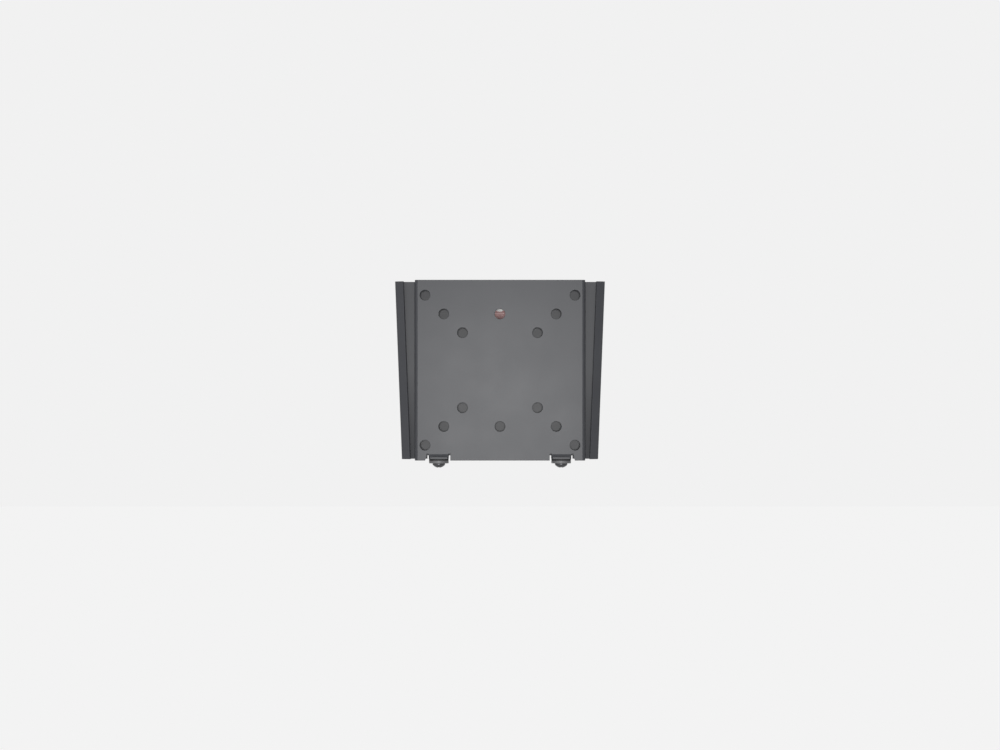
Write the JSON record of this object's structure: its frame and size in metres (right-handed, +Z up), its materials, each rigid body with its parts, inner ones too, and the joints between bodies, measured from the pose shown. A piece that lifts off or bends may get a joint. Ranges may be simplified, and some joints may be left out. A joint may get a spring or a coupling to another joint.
{
  "type": "tv wall mount",
  "caption": "Slim fixed wall mount for a small screen: a folded screen plate slides down into a tapered wall channel plate and is locked by screws from below.",
  "frame": {"origin": "centre of the wall plate's back face, on the wall plane", "axes": "+Z up, +Y into the wall, -Y towards the screen, +X to the right as seen from the screen side"},
  "size_m": [0.1404, 0.018, 0.1254],
  "materials": {
    "powder_coat": "fine-textured dark grey powder coat, satin",
    "screw_steel": "blackened steel, satin",
    "washer_steel": "phosphated dark grey steel, satin",
    "cushion_rubber": "matt black",
    "holder_plastic": "moulded, glossy white",
    "plug_plastic": "moulded, matt black",
    "vial_clear": "clear and polished",
    "level_fluid": "clear pale red liquid"
  },
  "bodies": {
    "wall_plate": {"wall_plate": "powder_coat", "level_holder": "holder_plastic", "level_vial": "vial_clear", "level_liquid": "level_fluid", "level_plug_left": "plug_plastic", "level_plug_right": "plug_plastic"},
    "tv_plate": {"tv_plate": "powder_coat"},
    "lock_washers_left": {"lock_washer_left": "washer_steel", "lock_cushion_left": "cushion_rubber"},
    "lock_screw_left": {"lock_screw_left": "screw_steel"},
    "lock_washers_right": {"lock_washer_right": "washer_steel", "lock_cushion_right": "cushion_rubber"},
    "lock_screw_right": {"lock_screw_right": "screw_steel"}
  },
  "joints": [
    {"name": "plate_lift", "type": "slide", "parent": "wall_plate", "child": "tv_plate", "axis": [0, 0, 1], "range_m": [0, 0.12]},
    {"name": "screw_travel_left", "type": "slide", "parent": "wall_plate", "child": "lock_washers_left", "axis": [0, 0, -1], "range_m": [0, 0.0084]},
    {"name": "screw_turn_left", "type": "hinge", "parent": "lock_washers_left", "child": "lock_screw_left", "pos_m": [-0.041, -0.009, -0.0623], "axis": [0, 0, -1], "range_deg": [0, 4320]},
    {"name": "screw_travel_right", "type": "slide", "parent": "wall_plate", "child": "lock_washers_right", "axis": [0, 0, -1], "range_m": [0, 0.0084]},
    {"name": "screw_turn_right", "type": "hinge", "parent": "lock_washers_right", "child": "lock_screw_right", "pos_m": [0.041, -0.009, -0.0623], "axis": [0, 0, -1], "range_deg": [0, 4320]}
  ],
  "couplings": [
    {"joint": "screw_turn_left", "follows": "screw_travel_left", "rad_per_m": 8976},
    {"joint": "screw_turn_right", "follows": "screw_travel_right", "rad_per_m": 8976}
  ]
}
